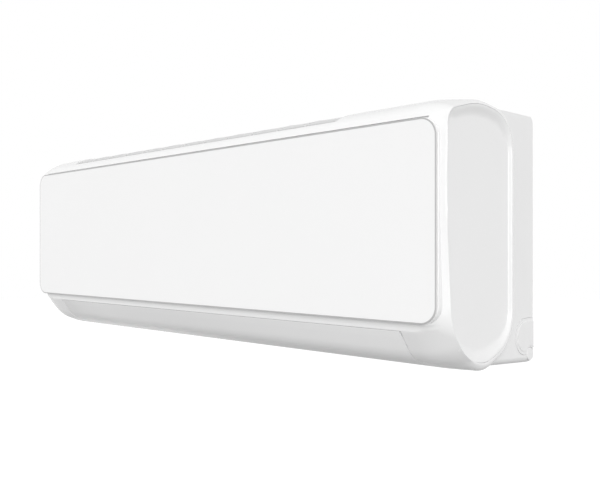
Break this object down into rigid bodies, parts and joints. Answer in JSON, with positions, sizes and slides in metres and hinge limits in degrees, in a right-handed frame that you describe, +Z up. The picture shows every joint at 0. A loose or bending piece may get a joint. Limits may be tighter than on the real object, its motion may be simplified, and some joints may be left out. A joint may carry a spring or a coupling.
{
  "type": "mini split indoor unit",
  "caption": "Long wall-hung air conditioner indoor unit with a lift-up flat front panel, dished end caps, a swinging air louver and a top intake grille.",
  "frame": {"origin": "centre of the mounting plate's back face, on the wall plane", "axes": "+X along the unit to the right as seen from the front, +Y into the wall, +Z up"},
  "size_m": [0.882, 0.217, 0.3068],
  "materials": {
    "casing_gloss": "glossy white moulded plastic",
    "panel_gloss": "mirror-smooth white plastic with a clear coat",
    "chassis_satin": "satin white moulded plastic",
    "inner_plastic": "fine matt light grey plastic",
    "grille_plastic": "satin white plastic",
    "filter_mesh": "fine grey mesh in a thin frame",
    "coil_fins": "stacked thin fins",
    "fan_plastic": "dark matt plastic",
    "bush_rubber": "black rubber",
    "motor_shell": "dark satin paint",
    "zinc_steel": "zinc-plated sheet",
    "copper_tube": "drawn copper, lightly dulled",
    "brass_nut": "machined brass",
    "circuit_board": "green board with coated parts",
    "terminal_plastic": "dark matt plastic",
    "display_lens": "translucent grey lens"
  },
  "bodies": {
    "housing": {"front_casing": "casing_gloss", "end_cap_left": "casing_gloss", "end_cap_right": "casing_gloss", "rear_chassis": "chassis_satin", "knockout_large_left": "chassis_satin", "knockout_large_right": "chassis_satin", "knockout_small_left": "chassis_satin", "knockout_small_right": "chassis_satin", "intake_grille": "grille_plastic", "scroll_duct": "inner_plastic", "drain_pan": "inner_plastic", "coil_front": "coil_fins", "coil_upper": "coil_fins", "coil_rear": "coil_fins", "coil_bracket_left": "zinc_steel", "coil_bracket_right": "zinc_steel", "fan_bearing": "bush_rubber", "fan_motor": "motor_shell", "motor_clamp": "inner_plastic", "louver_motor": "zinc_steel", "filter_left": "filter_mesh", "filter_right": "filter_mesh", "control_box": "inner_plastic", "control_box_cover": "zinc_steel", "control_board": "circuit_board", "terminal_block": "terminal_plastic", "suction_pipe": "copper_tube", "liquid_pipe": "copper_tube", "suction_flare_nut": "brass_nut", "liquid_flare_nut": "brass_nut", "mounting_plate": "zinc_steel", "display_module": "display_lens", "casing_screw_1": "zinc_steel", "casing_screw_2": "zinc_steel", "casing_screw_3": "zinc_steel"},
    "panel": {"front_panel": "panel_gloss", "panel_frame": "inner_plastic", "panel_pivot_left": "inner_plastic", "panel_pivot_right": "inner_plastic"},
    "fan": {"fan_wheel": "fan_plastic", "motor_shaft": "zinc_steel"},
    "air_louver": {"louver": "casing_gloss", "louver_shaft": "zinc_steel"},
    "link_left": {"vane_link_left": "inner_plastic"},
    "link_right": {"vane_link_right": "inner_plastic"},
    "button": {"manual_button": "inner_plastic"},
    "vane1": {"vane_1": "inner_plastic"},
    "vane2": {"vane_2": "inner_plastic"},
    "vane3": {"vane_3": "inner_plastic"},
    "vane4": {"vane_4": "inner_plastic"},
    "vane5": {"vane_5": "inner_plastic"},
    "vane6": {"vane_6": "inner_plastic"},
    "vane7": {"vane_7": "inner_plastic"},
    "vane8": {"vane_8": "inner_plastic"}
  },
  "joints": [
    {"name": "panel_hinge", "type": "hinge", "parent": "housing", "child": "panel", "pos_m": [0, -0.2105, 0.1212], "axis": [-1, 0, 0], "range_deg": [0, 60]},
    {"name": "louver_hinge", "type": "hinge", "parent": "housing", "child": "air_louver", "pos_m": [0, -0.145, -0.137], "axis": [1, 0, 0], "range_deg": [0, 70]},
    {"name": "fan_spin", "type": "hinge", "parent": "housing", "child": "fan", "pos_m": [0, -0.099, -0.05], "axis": [1, 0, 0], "continuous": true},
    {"name": "button_press", "type": "slide", "parent": "housing", "child": "button", "axis": [0, 1, 0], "range_m": [0, 0.0015], "stiffness_N_per_m": 400, "springref_m": -0.001},
    {"name": "vane_1_turn", "type": "hinge", "parent": "housing", "child": "vane1", "pos_m": [-0.28825, -0.10667, -0.12642], "axis": [0, -0.6419, 0.7668], "range_deg": [-30, 30]},
    {"name": "vane_2_turn", "type": "hinge", "parent": "housing", "child": "vane2", "pos_m": [-0.21225, -0.10667, -0.12642], "axis": [0, -0.6419, 0.7668], "range_deg": [-30, 30]},
    {"name": "vane_3_turn", "type": "hinge", "parent": "housing", "child": "vane3", "pos_m": [-0.13625, -0.10667, -0.12642], "axis": [0, -0.6419, 0.7668], "range_deg": [-30, 30]},
    {"name": "vane_4_turn", "type": "hinge", "parent": "housing", "child": "vane4", "pos_m": [-0.06025, -0.10667, -0.12642], "axis": [0, -0.6419, 0.7668], "range_deg": [-30, 30]},
    {"name": "vane_5_turn", "type": "hinge", "parent": "housing", "child": "vane5", "pos_m": [0.01575, -0.10667, -0.12642], "axis": [0, -0.6419, 0.7668], "range_deg": [-30, 30]},
    {"name": "vane_6_turn", "type": "hinge", "parent": "housing", "child": "vane6", "pos_m": [0.09175, -0.10667, -0.12642], "axis": [0, -0.6419, 0.7668], "range_deg": [-30, 30]},
    {"name": "vane_7_turn", "type": "hinge", "parent": "housing", "child": "vane7", "pos_m": [0.16775, -0.10667, -0.12642], "axis": [0, -0.6419, 0.7668], "range_deg": [-30, 30]},
    {"name": "vane_8_turn", "type": "hinge", "parent": "housing", "child": "vane8", "pos_m": [0.24375, -0.10667, -0.12642], "axis": [0, -0.6419, 0.7668], "range_deg": [-30, 30]},
    {"name": "link_left_slide", "type": "slide", "parent": "housing", "child": "link_left", "axis": [1, 0, 0], "range_m": [-0.0064, 0.0064]},
    {"name": "link_right_slide", "type": "slide", "parent": "housing", "child": "link_right", "axis": [1, 0, 0], "range_m": [-0.0064, 0.0064]}
  ],
  "couplings": [
    {"joint": "vane_2_turn", "follows": "vane_1_turn", "ratio": 1},
    {"joint": "vane_3_turn", "follows": "vane_1_turn", "ratio": 1},
    {"joint": "vane_4_turn", "follows": "vane_1_turn", "ratio": 1},
    {"joint": "vane_6_turn", "follows": "vane_5_turn", "ratio": 1},
    {"joint": "vane_7_turn", "follows": "vane_5_turn", "ratio": 1},
    {"joint": "vane_8_turn", "follows": "vane_5_turn", "ratio": 1},
    {"joint": "link_left_slide", "follows": "vane_1_turn", "m_per_rad": 0.012},
    {"joint": "link_right_slide", "follows": "vane_5_turn", "m_per_rad": 0.012}
  ]
}
